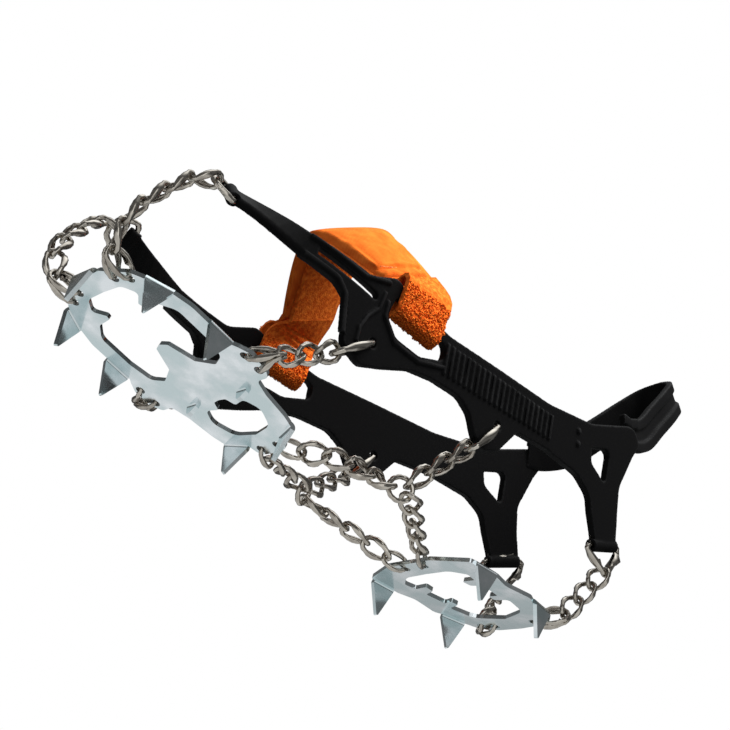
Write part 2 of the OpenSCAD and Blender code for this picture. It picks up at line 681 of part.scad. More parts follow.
// Stations [place, width direction] down the inside, round the fold and up the outside
leg_x = pad_reach + 2;
function leg_pt(side, depth, x, ease, t) =
    let (a = instep_pt(side * leg_x, depth), d = [side * x, bar_y, bar_top + 0.5],
         down = unit([side, 0, 0] - side * roof_slope(side * leg_x) * instep_out))
    bezier(a, a + ease * down, d + [0, 0, ease], d, t);
function leg_along(side, t) = unit(mix(instep_along, slot_along(side), t * t * (3 - 2 * t)));
function leg(side, depth, x, ease, lag, bottom) = concat(
    [for (i = [0:7]) [leg_pt(side, depth, x, ease, i / 7), leg_along(side, (i / 7) ^ lag)]],
    [[[side * x, bar_y, bottom], slot_along(side)]]);
function inner_leg(side) = leg(side, under, bar_in, 5, 1.6, fold_z);
function outer_leg(side, bottom) = leg(side, over, bar_out, 11, 0.8, bottom);
function fold(side) = [for (q = [30:30:150])
    [[side * ((bar_in + bar_out) / 2 - fold_r * cos(q)), bar_y, fold_z - fold_r * sin(q)], slot_along(side)]];
function over_top() = [for (i = [-6:6]) [instep_pt(pad_reach * i / 6.5, under), instep_along]];
module strip(stations) {
    n = len(stations);
    loft([for (i = [0:n - 1])
        let (t = unit(stations[min(n - 1, i + 1)][0] - stations[max(0, i - 1)][0]),
             w = across(stations[i][1], t) * strap_w / 2, o = cross(t, unit(w)) * strap_t / 2,
             c = stations[i][0])
        [c - w - o, c + w - o, c + w + o, c - w + o]]);
}
function reversed(list) = [for (i = [len(list) - 1:-1:0]) list[i]];
module strap_band() {
    color(orange)
        strip(concat(
            reversed(concat(inner_leg(LEFT), fold(LEFT))),
            over_top(),
            inner_leg(RIGHT), fold(RIGHT), reversed(outer_leg(RIGHT, fold_z))));
}
module strap_tongue() {
    color(orange)
        strip(outer_leg(LEFT, fold_z + 2 * strap_gap));
}
// The pad: a crowned section that narrows towards both ends, [depth, place across] on one half
function pad_half(w) =
    [[pad_t, w - 1], [pad_t * 0.6, w], [pad_t * 0.25, w - 1.5], [0.9, w - 4], [0.2, w / 2]];
function pad_section(w) = concat(pad_half(w), [[0, 0]],
    [for (i = [4:-1:0]) [pad_half(w)[i][0], -pad_half(w)[i][1]]]);
module strap_pad() {
    steps = 8;
    color(orange)
        loft([for (i = [steps:-1:-steps])
            let (x = pad_reach * i / steps, w = mix(pad_w, pad_end_w, abs(i) / steps) / 2)
            [for (p = pad_section(w)) instep_pt(x, p[0]) + p[1] * instep_along]]);
}

harness();
strap_band();
strap_pad();
strap_tongue();
front_plate();
heel_plate();
toe_ring(LEFT);  // toe_ring_left
toe_ring(RIGHT);  // toe_ring_right
heel_ring(LEFT);  // heel_ring_left
heel_ring(RIGHT);  // heel_ring_right
connector(LEFT, side_eyelet, side_dir);  // side_connector_left
connector(RIGHT, side_eyelet, side_dir);  // side_connector_right
connector(LEFT, rear_eyelet, rear_dir);  // rear_connector_left
connector(RIGHT, rear_eyelet, rear_dir);  // rear_connector_right
toe_yokes(LEFT);  // toe_yokes_left
toe_yokes(RIGHT);  // toe_yokes_right
ear_yokes(LEFT);  // ear_yokes_left
ear_yokes(RIGHT);  // ear_yokes_right
arch_yoke(LEFT);  // arch_yoke_left
arch_yoke(RIGHT);  // arch_yoke_right
waist_yoke(LEFT);  // waist_yoke_left
waist_yoke(RIGHT);  // waist_yoke_right
heel_yokes(LEFT);  // heel_yokes_left
heel_yokes(RIGHT);  // heel_yokes_right
junction_ring(LEFT);  // junction_ring_left
junction_ring(RIGHT);  // junction_ring_right
toe_chain(LEFT);  // toe_chain_left
toe_chain(RIGHT);  // toe_chain_right
side_chain(LEFT);  // side_chain_left
side_chain(RIGHT);  // side_chain_right
arch_chain(LEFT);  // arch_chain_left
arch_chain(RIGHT);  // arch_chain_right
lift_chain(LEFT);  // lift_chain_left
lift_chain(RIGHT);  // lift_chain_right
waist_chain(LEFT);  // waist_chain_left
waist_chain(RIGHT);  // waist_chain_right
heel_chain(LEFT);  // heel_chain_left
heel_chain(RIGHT);  // heel_chain_right
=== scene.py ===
"""Dresses the packed ice cleat: moulded harness, zinc plates, wire chains, strap and padded cover."""

import json
import math

import bmesh
import bpy
import numpy as np
from bpy.props import FloatProperty, FloatVectorProperty, IntProperty, PointerProperty
from mathutils import Matrix, Vector


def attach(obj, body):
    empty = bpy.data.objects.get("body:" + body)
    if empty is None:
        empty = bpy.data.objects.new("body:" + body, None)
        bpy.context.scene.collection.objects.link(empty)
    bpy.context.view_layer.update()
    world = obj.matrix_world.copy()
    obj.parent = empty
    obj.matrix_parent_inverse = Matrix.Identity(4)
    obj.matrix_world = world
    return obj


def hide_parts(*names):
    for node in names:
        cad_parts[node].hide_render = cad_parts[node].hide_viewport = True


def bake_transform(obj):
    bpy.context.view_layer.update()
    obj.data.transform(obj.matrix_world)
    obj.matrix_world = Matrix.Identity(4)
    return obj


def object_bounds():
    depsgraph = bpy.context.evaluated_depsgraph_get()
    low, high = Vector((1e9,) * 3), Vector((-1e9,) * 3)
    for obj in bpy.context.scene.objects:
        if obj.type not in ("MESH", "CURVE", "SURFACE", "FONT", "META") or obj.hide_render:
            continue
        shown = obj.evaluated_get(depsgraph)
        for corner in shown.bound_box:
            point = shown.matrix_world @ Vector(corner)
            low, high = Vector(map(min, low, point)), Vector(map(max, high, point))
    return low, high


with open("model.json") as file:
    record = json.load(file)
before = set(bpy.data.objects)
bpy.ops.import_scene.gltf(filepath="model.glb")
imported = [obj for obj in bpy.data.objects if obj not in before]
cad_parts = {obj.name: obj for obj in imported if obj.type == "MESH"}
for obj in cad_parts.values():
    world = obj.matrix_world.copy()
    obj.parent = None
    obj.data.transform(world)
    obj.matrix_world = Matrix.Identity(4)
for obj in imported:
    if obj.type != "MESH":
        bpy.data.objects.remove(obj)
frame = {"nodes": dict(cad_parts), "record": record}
CAD_LOW, CAD_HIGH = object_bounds()

bl_info = {
    "name": "Ice Cleat",
    "version": (1, 0, 0),
    "blender": (4, 5, 0),
    "location": "View3D > Sidebar > Ice Cleat",
    "description": "Builds the visible pieces of a strap-on ice cleat round its solid model",
    "category": "Object",
}

MM = 0.001
WIRE_WORDS = ("chain", "yoke", "ring", "connector")
PLATES = ("front_plate", "heel_plate")
BODY_OF = {node: body for body, nodes in frame["record"]["behaviour"]["bodies"].items() for node in nodes}

# The solid model's own sizes, in millimetres: heel loop, instep, pad and strap
HEEL_Y, LOOP_BACK, LOOP_FOOT, LOOP_TOP = -130.0, 58.5, 104.0, 170.0
# The loop's stations: half width, share of the reach, share of the rise
LOOP_SHAPE = (
    (33.5, 0, 0), (31.5, 0.17, 0.045), (26, 0.41, 0.2), (20, 0.63, 0.485),
    (14, 0.855, 0.8), (8.5, 0.965, 0.955), (0, 1, 1))
INSTEP_SLOPE = math.radians(39)
INSTEP_OUT = Vector((0, math.sin(INSTEP_SLOPE), math.cos(INSTEP_SLOPE)))
INSTEP_ALONG = Vector((0, -math.cos(INSTEP_SLOPE), math.sin(INSTEP_SLOPE)))
CREST, CREST_ROUND = Vector((0, 48, 118)), 18.0
PAD_REACH, PAD_FALL = 36.0, 29.0
PAD_WIDTH, PAD_END_WIDTH, PAD_THICK = 48.0, 37.0, 5.0
STRAP_WIDTH, STRAP_THICK = 28.0, 2.4
FOLD_MIDDLE, FOLD_RADIUS = Vector((-47.70, 25, 66)), 3.6
FOLD_ALONG = Vector((math.tan(math.radians(5)), -1, 0.06)).normalized()

# Sizes of the visible pieces, in millimetres
# The rounded part of the loop starts behind the heel corner and reaches a little below the loop's foot
LOOP_START, LOOP_DROP = HEEL_Y - 9, LOOP_FOOT - 4
# Planes that end the strap's loose end and the pile on it
LOOSE_END, LOOSE_ALONG = Vector((-38.2, 27.1, 92.1)), Vector((0.709, 0.41, 0.572))
PILE_END, PILE_ALONG = Vector((-52.3, 24.7, 80.5)), Vector((0.10, 0.14, 0.98))
# The pile starts this far from the middle; the search for the band's outer face starts below this height
PILE_START, PILE_SEED_TOP = 24, 63
# Loops of the pile: yarn, sink, stretch of an arch, and the spread of lean, size and tone
PILE_YARN, PILE_SINK, PILE_STRETCH = 0.48, 0.1, (1.3, 1.0, 2.0)
PILE_LEAN, PILE_SIZES, PILE_TONES = 0.35, (0.75, 1.25), (4.0, 1.0)
STRAP_EDGE = 0.7
# The bridging fold: middle and half of its turn in degrees, share where it runs straight, rise there
FOLD_TURN, FOLD_SPREAD, FOLD_STRAIGHT, FOLD_RISE = 158, 27, 0.815, 10
FOLD_GAP, FOLD_BLEND = 0.05, 1.5
# The pad's cover: reach, depth of its crown and its underside below the pad's top, fall to the flanks
COVER_REACH, COVER_TOP, COVER_BASE, CROWN_FALL = 37.3, 0.3, PAD_THICK - 0.3, 0.8
# Share of the half width that is crown, distance from there to the edge, run of the steep flank
CROWN_SHARE, CROWN_INSET, FLANK_RUN = 0.8, 3.0, 2.6
# Narrowing and tilt of the cover at its ends, and how far its underside stays inside its edge
END_ROUND, END_TILT, UNDER_INSET = 2.0, 2.0, 0.4
# Hem: its width, the depth and width of its seam, and the distance from the seam that is held
HEM, SEAM_DEPTH, SEAM_WIDTH, SEAM_HELD = 4.2, 1.6, 0.9, 0.6
# Bound layer under the cover: depth, thickness, and how far it shows at the ends and at the sides
LIP_DEPTH, LIP_THICK, LIP_REACH, LIP_OUT = PAD_THICK - 0.5, 0.7, 0.2, 0.8
# Stitches: height, thread, sink, stretch and spread of size
STITCH_HEIGHT, THREAD, STITCH_SINK = 0.5, 0.45, 0.12
STITCH_STRETCH, STITCH_SIZES = (3.0, 1.0, 0.6), (0.9, 1.1)
# Rim rows: stitched share, length of the slope to the reach, place, depth, lean and step of the direction
RIM_SHARE, RIM_SLOPE, RIM_OUT, RIM_DEPTH, RIM_LEAN, RIM_STEP = 0.97, 1.25, 0.1, PAD_THICK - 0.75, 0.8, 0.1
# Hem rows: distance from the sides, depth in the middle and how much it changes towards the sides
HEM_INSET, HEM_DEPTH, HEM_TILT = 4.5, 1.4, 1.7
# Distances within which points are joined, in a solid and in the cover
WELD, COVER_WELD = 0.002, 0.02

# Angles between faces: in a flat face, over a plate's corner, along the strap, over the strap's edge
FLAT, PLATE_CORNER, STRAP_BEND, STRAP_CORNER = (math.radians(angle) for angle in (1, 40, 50, 60))
# Least share of a normal that points one way; least edge or area, in millimetres, of a wide strap face
FACING, WIDE_EDGE, WIDE_AREA = 0.95, 0.8 * STRAP_THICK, 20

# Floor in metres: half its side, and the distances between which it fades out
FLOOR_HALF, FADE_START, FADE_END = 0.6, 0.3, 0.55
# Red, green and blue in a tone of the sky
SKY_TINT = (0.98, 1.0, 1.01)


class CleatRubber(bpy.types.PropertyGroup):
    """Finish of the moulded harness"""

    colour: FloatVectorProperty(
        name="Colour", description="Body colour of the rubber", subtype="COLOR", size=4, min=0, max=1,
        default=(0.0044, 0.0044, 0.0046, 1))
    # Lighter edge colour: rubbed wear, and also a painted highlight along the ridges
    worn_highlight: FloatVectorProperty(
        name="Worn and highlight colour", description="Colour of rubbed edges, also painted there as a highlight", subtype="COLOR", size=4, min=0, max=1,
        default=(0.024, 0.024, 0.025, 1))
    detail: IntProperty(
        name="Mould detail", description="Halvings of the grid that the moulded skin is drawn on",
        default=9, min=7, max=9)
    soften: IntProperty(
        name="Edge softening", description="Smoothing passes that round the moulded edges",
        default=3, min=0, max=10)


class CleatMetal(bpy.types.PropertyGroup):
    """Finish of the steel pieces"""

    zinc: FloatVectorProperty(
        name="Zinc", description="Colour of the plated spike plates", subtype="COLOR", size=4, min=0, max=1,
        default=(0.50, 0.62, 0.63, 1))
    zinc_dull: FloatVectorProperty(
        name="Dull zinc", description="Colour of the plates where the plating is clouded", subtype="COLOR",
        size=4, min=0, max=1, default=(0.38, 0.48, 0.49, 1))
    zinc_rubbed: FloatVectorProperty(
        name="Rubbed zinc", description="Colour of the plates' rubbed edges", subtype="COLOR", size=4,
        min=0, max=1, default=(0.86, 0.90, 0.92, 1))
    steel: FloatVectorProperty(
        name="Steel", description="Colour of the chain wire", subtype="COLOR", size=4, min=0, max=1,
        default=(0.54, 0.50, 0.44, 1))
    # Darker wire colour: dull patches, and painted shade in the wire's hollows
    steel_dull_and_shade: FloatVectorProperty(
        name="Dull steel", description="Colour of the wire's clouded patches and of the shade painted in its hollows", subtype="COLOR", size=4,
        min=0, max=1, default=(0.22, 0.19, 0.16, 1))
    edge: FloatProperty(
        name="Stamped edge", description="Width of the rounded edge of the plates", subtype="DISTANCE",
        unit="LENGTH", default=0.22 * MM, min=0.05 * MM, max=0.5 * MM)
    wire_rounds: IntProperty(
        name="Wire rounding", description="Times that the wire's sides are halved", default=2, min=1, max=3)
    wire_fit: FloatProperty(
        name="Wire fit", description="Distance that the round wire lies inside the solid wire's corners",
        subtype="DISTANCE", unit="LENGTH", default=0.07 * MM, min=0, max=0.2 * MM)


class CleatFabric(bpy.types.PropertyGroup):
    """Finish of the strap and the pad"""

    orange: FloatVectorProperty(
        name="Orange", description="Colour of the fabric", subtype="COLOR", size=4, min=0, max=1,
        default=(0.88, 0.205, 0.027, 1))
    shade: FloatVectorProperty(
        name="Shade", description="Colour between the yarns", subtype="COLOR", size=4, min=0, max=1,
        default=(0.60, 0.098, 0.011, 1))
    thread: FloatVectorProperty(
        name="Thread", description="Colour of the sewing thread", subtype="COLOR", size=4, min=0, max=1,
        default=(0.86, 0.27, 0.06, 1))
    loop_gap: FloatProperty(
        name="Loop spacing", description="Mean distance between two loops of the pile", subtype="DISTANCE",
        unit="LENGTH", default=0.85 * MM, min=0.5 * MM, max=3 * MM)
    loop_height: FloatProperty(
        name="Loop height", description="Height of a loop of the pile", subtype="DISTANCE", unit="LENGTH",
        default=0.55 * MM, min=0.2 * MM, max=2 * MM)
    stitch: FloatProperty(
        name="Stitch length", description="Distance between two stitches on the pad", subtype="DISTANCE",
        unit="LENGTH", default=2.6 * MM, min=1 * MM, max=5 * MM)
    puff: FloatProperty(
        name="Filling pressure", description="Pressure of the filling in the pad's cover",
        default=20.0, min=0, max=40)
    slack: FloatProperty(
        name="Cover slack", description="Share by which the cover is cut larger than its filling",
        subtype="FACTOR", default=0.04, min=0, max=0.1)
    puff_cap: FloatProperty(
        name="Filling limit", description="Most that the filling may lift the cover", subtype="DISTANCE",
        unit="LENGTH", default=1.7 * MM, min=0, max=4 * MM)


class CleatStage(bpy.types.PropertyGroup):
    """Camera, floor and light"""

    eye: FloatVectorProperty(
        name="Camera place", description="Place of the camera", subtype="TRANSLATION", size=3,
        default=(-0.5661, 0.3864, -0.3316))
    right: FloatVectorProperty(
        name="Camera right", description="Direction of the picture's right side", subtype="DIRECTION",
        size=3, default=(-0.6664, -0.6812, 0.3032))
    up: FloatVectorProperty(
        name="Camera up", description="Direction of the picture's top", subtype="DIRECTION", size=3,
        default=(-0.1989, 0.5543, 0.8082))
    lens: FloatProperty(
        name="Lens", description="Focal length of the camera in millimetres", default=84.16, min=20, max=300)
    floor: FloatVectorProperty(
        name="Floor", description="Colour of the floor", subtype="COLOR", size=4, min=0, max=1,
        default=(0.88, 0.88, 0.89, 1))


class CleatSettings(bpy.types.PropertyGroup):
    """All settings of the ice cleat"""

    rubber: PointerProperty(type=CleatRubber, name="Rubber", description="Harness")
    metal: PointerProperty(type=CleatMetal, name="Metal", description="Plates and chains")
    fabric: PointerProperty(type=CleatFabric, name="Fabric", description="Strap and pad")
    stage: PointerProperty(type=CleatStage, name="Stage", description="Camera, floor and light")


def settings():
    return bpy.context.scene.cleat


# Node trees


def new_group(name, inputs, outputs):
    """A shader node group with float inputs (a vector where the default is None) and float outputs."""
    group = bpy.data.node_groups.new(name, "ShaderNodeTree")
    for label, default in inputs:
        kind = "NodeSocketVector" if default is None else "NodeSocketFloat"
        socket = group.interface.new_socket(label, in_out="INPUT", socket_type=kind)
        if default is not None:
            socket.default_value = default
    for label in outputs:
        group.interface.new_socket(label, in_out="OUTPUT", socket_type="NodeSocketFloat")
    entry = group.nodes.new("NodeGroupInput")
    leave = group.nodes.new("NodeGroupOutput")
    return group, entry, leave


def plug(tree, socket, value):
    """Links a socket to another one, or sets it to a constant."""
    if isinstance(value, bpy.types.NodeSocket):
        tree.links.new(value, socket)
    else:
        socket.default_value = value


def math_node(tree, operation, *values, clamp=False):
    node = tree.nodes.new("ShaderNodeMath")
    node.operation = operation
    node.use_clamp = clamp
    for socket, value in zip(node.inputs, values):
        plug(tree, socket, value)
    return node.outputs[0]


def map_range(tree, value, low, high, to_low=0.0, to_high=1.0):
    node = tree.nodes.new("ShaderNodeMapRange")
    plug(tree, node.inputs["Value"], value)
    for label, limit in (("From Min", low), ("From Max", high), ("To Min", to_low), ("To Max", to_high)):
        plug(tree, node.inputs[label], limit)
    return node.outputs["Result"]


def noise(tree, vector, scale, detail, roughness=0.5):
    node = tree.nodes.new("ShaderNodeTexNoise")
    for label, value in (("Vector", vector), ("Scale", scale), ("Detail", detail), ("Roughness", roughness)):
        plug(tree, node.inputs[label], value)
    return node.outputs["Fac"]


def grain_group():
    """Fine moulded grain over broad clouding, from a place on the piece."""
    group, entry, leave = new_group(
        "Grain", [("Vector", None), ("Fine", 900.0), ("Broad", 40.0)], ["Height", "Cloud"])
    for label, detail, low, high, out in (
            ("Fine", 2.0, 0.35, 0.65, "Height"), ("Broad", 4.0, 0.42, 0.66, "Cloud")):
        spots = noise(group, entry.outputs["Vector"], entry.outputs[label], detail)
        group.links.new(map_range(group, spots, low, high), leave.inputs[out])
    return group


def scratch_group():
    """Thin rubbed lines along one direction, from a place on the piece."""
    group, entry, leave = new_group(
        "Scratches", [("Vector", None), ("Scale", 60.0), ("Amount", 0.5)], ["Mask"])
    stretch = group.nodes.new("ShaderNodeVectorMath")
    stretch.operation = "MULTIPLY"
    stretch.inputs[1].default_value = (1.0, 0.06, 1.0)
    group.links.new(entry.outputs["Vector"], stretch.inputs[0])
    streaks = noise(group, stretch.outputs[0], entry.outputs["Scale"], 6.0, 0.7)
    lines = map_range(group, streaks, 0.52, 0.68)
    mask = math_node(group, "MULTIPLY", lines, entry.outputs["Amount"], clamp=True)
    group.links.new(mask, leave.inputs["Mask"])
    return group


def rubbed_and_highlight_group():
    """Convex edges, where a finish rubs off and, on the rubber, a painted highlight lies along the ridges;
    broken up by clouding.
    """
    group, entry, leave = new_group("Rubbed and highlighted edges", [("Cloud", 0.5), ("From", 0.52), ("To", 0.58)], ["Mask"])
    shape = group.nodes.new("ShaderNodeNewGeometry")
    convex = map_range(group, shape.outputs["Pointiness"], entry.outputs["From"], entry.outputs["To"])
    broken = math_node(group, "ADD", math_node(group, "MULTIPLY", entry.outputs["Cloud"], 0.7), 0.3)
    mask = math_node(group, "MULTIPLY", convex, broken, clamp=True)
    group.links.new(mask, leave.inputs["Mask"])
    return group


def weave_group():
    """Plain weave in the cloth's own lengths: over and under by turns."""
    group, entry, leave = new_group("Weave", [("Vector", None), ("Yarns", 2200.0)], ["Height", "Tone"])
    split = group.nodes.new("ShaderNodeSeparateXYZ")
    group.links.new(entry.outputs["Vector"], split.inputs[0])
    waves = []
    for axis in ("X", "Y"):
        phase = math_node(group, "MULTIPLY", split.outputs[axis], entry.outputs["Yarns"])
        waves.append(math_node(group, "SINE", phase))
    over = math_node(group, "MULTIPLY", waves[0], waves[1])
    group.links.new(map_range(group, over, -1.0, 1.0), leave.inputs["Height"])
    cloud = noise(group, entry.outputs["Vector"], 120.0, 4.0, 0.55)
    tone = math_node(group, "ADD", math_node(group, "MULTIPLY", over, 0.18), cloud)
    group.links.new(map_range(group, tone, 0.25, 0.75), leave.inputs["Tone"])
    return group


class Finish:
    """One material: a shader, the place that its patterns read, and the links between them."""

    def __init__(self, name, place="Object", **constants):
        self.material = bpy.data.materials.new(name)
        self.material.use_nodes = True
        self.tree = self.material.node_tree
        self.shader = self.tree.nodes["Principled BSDF"]
        for label, value in constants.items():
            self.shader.inputs[label.replace("_", " ")].default_value = value
        coords = self.tree.nodes.new("ShaderNodeTexCoord")
        self.place = coords.outputs[place]

    def effect(self, group, **values):
        node = self.tree.nodes.new("ShaderNodeGroup")
        node.node_tree = bpy.data.node_groups[group]
        for label, value in values.items():
            plug(self.tree, node.inputs[label], value)
        if "Vector" in node.inputs:
            self.tree.links.new(self.place, node.inputs["Vector"])
        return node.outputs

    def mix(self, mask, low, high):
        """A colour between two colours or colour sockets."""
        node = self.tree.nodes.new("ShaderNodeMix")
        node.data_type = "RGBA"
        self.tree.links.new(mask, node.inputs["Factor"])
        for label, colour in (("A", low), ("B", high)):
            socket = next(s for s in node.inputs if s.name == label and s.type == "RGBA")
            plug(self.tree, socket, colour)
        return next(s for s in node.outputs if s.type == "RGBA")

    def feed(self, label, socket):
        self.tree.links.new(socket, self.shader.inputs[label])

    def bump(self, height, depth, strength=1.0):
        node = self.tree.nodes.new("ShaderNodeBump")
        node.inputs["Strength"].default_value = strength
        node.inputs["Distance"].default_value = depth
        self.tree.links.new(height, node.inputs["Height"])
        self.feed("Normal", node.outputs["Normal"])


def rubber_finish():
    rubber = settings().rubber
    finish = Finish("harness_rubber", Specular_IOR_Level=0.04)
    grain = finish.effect("Grain", Fine=1400.0, Broad=55.0)
    # Convex edges lighter: partly rubbed wear, partly a painted highlight along the ridges
    edges = finish.effect("Rubbed and highlighted edges", Cloud=grain["Cloud"], From=0.515, To=0.60)
    finish.feed("Base Color", finish.mix(edges["Mask"], rubber.colour, rubber.worn_highlight))
    finish.feed("Roughness", map_range(finish.tree, grain["Cloud"], 0.0, 1.0, 0.44, 0.58))
    finish.bump(grain["Height"], 0.03 * MM, 0.5)
    return finish.material


def zinc_finish():
    metal = settings().metal
    finish = Finish("zinc_plate", Metallic=1.0)
    grain = finish.effect("Grain", Fine=700.0, Broad=70.0)
    lines = finish.effect("Scratches", Scale=350.0, Amount=0.55)
    edges = finish.effect("Rubbed and highlighted edges", Cloud=grain["Cloud"], From=0.53, To=0.62)
    clouded = finish.mix(grain["Cloud"], metal.zinc, metal.zinc_dull)
    finish.feed("Base Color", finish.mix(edges["Mask"], clouded, metal.zinc_rubbed))
    finish.feed("Roughness", map_range(finish.tree, lines["Mask"], 0.0, 1.0, 0.15, 0.31))
    finish.bump(lines["Mask"], 0.012 * MM, 0.5)
    return finish.material


def steel_finish(name, rough_low, rough_high, clean):
    """Wire with painted shade in its hollows and, less where it is clean, dull patches."""
    metal = settings().metal
    finish = Finish(name, Metallic=1.0)
    grain = finish.effect("Grain", Fine=1100.0, Broad=160.0)
    hollow = finish.tree.nodes.new("ShaderNodeNewGeometry")
    # Painted shade: darker where the wire's surface is hollow
    hollow_shade = map_range(finish.tree, hollow.outputs["Pointiness"], 0.50, 0.44)
    patches = math_node(finish.tree, "MULTIPLY", grain["Cloud"], 1.0 - clean)
    dull_and_shade = math_node(finish.tree, "MAXIMUM", patches, hollow_shade)
    finish.feed("Base Color", finish.mix(dull_and_shade, metal.steel, metal.steel_dull_and_shade))
    finish.feed("Roughness", map_range(finish.tree, grain["Cloud"], 0.0, 1.0, rough_low, rough_high))
    finish.bump(grain["Height"], 0.01 * MM, 0.4)
    return finish.material


def webbing_finish():
    fabric = settings().fabric
    finish = Finish("strap_webbing", Roughness=0.92, Specular_IOR_Level=0.08)
    grain = finish.effect("Grain", Fine=1500.0, Broad=500.0)
    finish.feed("Base Color", finish.mix(grain["Cloud"], fabric.shade, fabric.orange))
    finish.bump(grain["Height"], 0.15 * MM, 0.8)
    return finish.material


def pile_finish():
    """Loops of the pile: each loop has a tone of its own."""
    fabric = settings().fabric
    finish = Finish("loop_pile", Roughness=0.85, Specular_IOR_Level=0.08)
    # A mesh without this attribute takes the shade colour throughout, as painted shade
    tone = finish.tree.nodes.new("ShaderNodeAttribute")
    tone.attribute_name = "loop_tone"
    finish.feed("Base Color", finish.mix(tone.outputs["Fac"], fabric.shade, fabric.orange))
    return finish.material


def cover_finish():
    fabric = settings().fabric
    finish = Finish("pad_fabric", "UV", Roughness=0.85, Specular_IOR_Level=0.1)
    weave = finish.effect("Weave", Yarns=7000.0)
    finish.feed("Base Color", finish.mix(weave["Tone"], fabric.shade, fabric.orange))
    finish.bump(weave["Height"], 0.12 * MM, 0.6)
    return finish.material


def thread_finish():
    fabric = settings().fabric
    finish = Finish("sewing_thread", Roughness=0.6, Specular_IOR_Level=0.4, Sheen_Weight=0.2)
    grain = finish.effect("Grain", Fine=3000.0, Broad=600.0)
    finish.feed("Base Color", finish.mix(grain["Cloud"], fabric.thread, fabric.orange))
    finish.bump(grain["Height"], 0.05 * MM, 0.5)
    return finish.material


def floor_finish():
    """Pale floor that fades out round the part and is clear from below."""
    finish = Finish("studio_floor", Roughness=0.6)
    grain = finish.effect("Grain", Fine=80.0, Broad=3.0)
    pale = settings().stage.floor
    finish.feed("Base Color", finish.mix(grain["Cloud"], pale, tuple(0.97 * c for c in pale[:3]) + (1,)))
    tree = finish.tree
    under = tree.nodes.new("ShaderNodeNewGeometry")
    reach = tree.nodes.new("ShaderNodeVectorMath")
    reach.operation = "LENGTH"
    tree.links.new(finish.place, reach.inputs[0])
    away = map_range(tree, reach.outputs["Value"], FADE_START, FADE_END)
    clear = tree.nodes.new("ShaderNodeBsdfTransparent")
    choose = tree.nodes.new("ShaderNodeMixShader")
    tree.links.new(math_node(tree, "MAXIMUM", under.outputs["Backfacing"], away), choose.inputs[0])
    tree.links.new(finish.shader.outputs[0], choose.inputs[1])
    tree.links.new(clear.outputs[0], choose.inputs[2])
    tree.links.new(choose.outputs[0], tree.nodes["Material Output"].inputs["Surface"])
    return finish.material


# Meshes


def merged_copy(node):
    """The solid's mesh as a new bmesh with its loose triangles joined."""
    bm = bmesh.new()
    bm.from_mesh(frame["nodes"][node].data)
    bmesh.ops.remove_doubles(bm, verts=bm.verts, dist=WELD * MM)
    return bm


def dress(mesh, name, material, smooth=True):
    """Makes an object of a mesh, with its material and slot."""
    obj = bpy.data.objects.new(name, mesh)
    bpy.context.collection.objects.link(obj)
    mesh.materials.append(material)
    if smooth:
        mesh.polygons.foreach_set("use_smooth", [True] * len(mesh.polygons))
    return obj


def place_mesh(mesh, name, node, material, smooth=True):
    """Makes an object of a mesh and puts it on its node's body."""
    obj = dress(mesh, name, material, smooth)
    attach(obj, BODY_OF[node])
    return obj


def mesh_of(bm, name):
    """Makes a mesh of a bmesh and frees the bmesh."""
    mesh = bpy.data.meshes.new(name)
    bm.to_mesh(mesh)
    bm.free()
    return mesh


def apply_modifiers(obj):
    """Replaces the object's mesh with its evaluated one."""
    evaluated = obj.evaluated_get(bpy.context.evaluated_depsgraph_get())
    mesh = bpy.data.meshes.new_from_object(evaluated)
    mesh.name = obj.name
    obj.modifiers.clear()
    obj.data = mesh


def strip_faces(seeds, limit):
    """Faces that can be reached from the given ones without crossing a sharp edge."""
    found = set(seeds)
    todo = list(seeds)
    while todo:
        face = todo.pop()
        for edge in face.edges:
            for other in edge.link_faces:
                if other not in found and other.normal.angle(face.normal, math.pi) < limit:
                    found.add(other)
                    todo.append(other)
    return found


def round_loop(mesh):
    """Bends the straight stretches of the heel loop into one curve through the same stations.

    A stretch lies between the planes that halve the bends at its ends, and its points move as far as
    the curve departs from the straight line there.
    """
    half = [(wide, HEEL_Y - LOOP_BACK * back, LOOP_FOOT + (LOOP_TOP - LOOP_FOOT) * rise)
            for wide, back, rise in LOOP_SHAPE]
    path = np.array(half + [(-x, y, z) for x, y, z in half[-2::-1]]) * MM
    steps = np.diff(path, axis=0)
    ways = steps / np.linalg.norm(steps, axis=1, keepdims=True)
    bisect = path[2:] - path[:-2]
    bisect /= np.linalg.norm(bisect, axis=1, keepdims=True)
    places = np.empty(len(mesh.vertices) * 3)
    mesh.vertices.foreach_get("co", places)
    places = places.reshape(-1, 3)
    rounded = places.copy()
    behind = (places[:, 1] < LOOP_START * MM) & (places[:, 2] > LOOP_DROP * MM)
    for i in range(1, len(steps) - 1):
        ahead = (places - path[i]) @ bisect[i - 1]
        left = (path[i + 1] - places) @ bisect[i]
        own = behind & (ahead >= 0) & (left > 0) & (places[:, 0] * (path[i] + path[i + 1])[0] > 0)
        t = (ahead[own] / (ahead[own] + left[own]))[:, None]
        size = np.linalg.norm(steps[i])
        leave = size * (ways[i - 1] + ways[i]) / 2 - steps[i]
        arrive = size * (ways[i] + ways[i + 1]) / 2 - steps[i]
        rounded[own] += leave * t * (1 - t) ** 2 - arrive * t * t * (1 - t)
    mesh.vertices.foreach_set("co", rounded.ravel())
    mesh.update()


